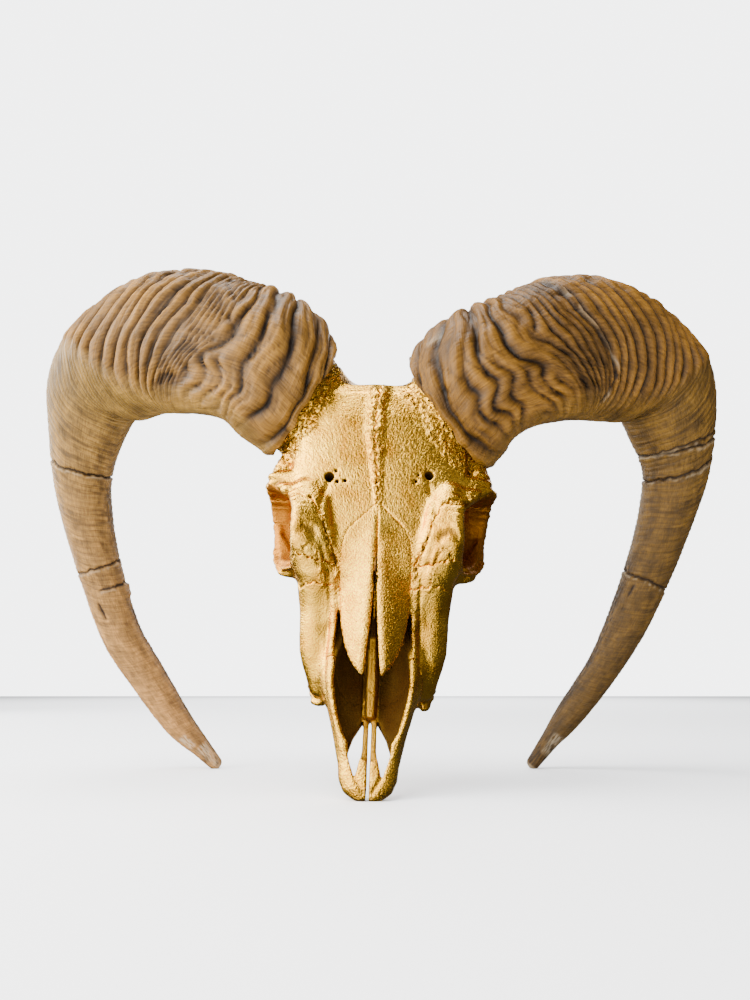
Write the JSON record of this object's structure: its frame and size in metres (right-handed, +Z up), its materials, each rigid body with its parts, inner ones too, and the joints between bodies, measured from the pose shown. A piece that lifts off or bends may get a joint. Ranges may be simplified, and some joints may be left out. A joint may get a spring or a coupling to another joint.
{
  "type": "ram skull",
  "caption": "Ram skull with curled, ridged horns, bone painted gold, standing upright on its snout and horn tips as a still display piece.",
  "frame": {"origin": "middle of the footprint's bounding box, on the surface it stands on", "axes": "+Z up, +X to the right as seen from the front, +Y away from the viewer, the face towards -Y"},
  "size_m": [0.479, 0.2003, 0.321],
  "materials": {
    "gold_bone": "gold metallic paint brushed over dry bone, satin",
    "horn": "natural horn sheath, ridged, semi-gloss"
  },
  "bodies": {
    "root": {"nasal_left": "gold_bone", "nasal_right": "gold_bone", "premaxilla_left": "gold_bone", "premaxilla_right": "gold_bone", "maxilla_left": "gold_bone", "maxilla_right": "gold_bone", "lacrimal_left": "gold_bone", "lacrimal_right": "gold_bone", "zygomatic_left": "gold_bone", "zygomatic_right": "gold_bone", "frontal_left": "gold_bone", "frontal_right": "gold_bone", "braincase": "gold_bone", "horn_left": "horn", "horn_right": "horn"}
  },
  "joints": []
}
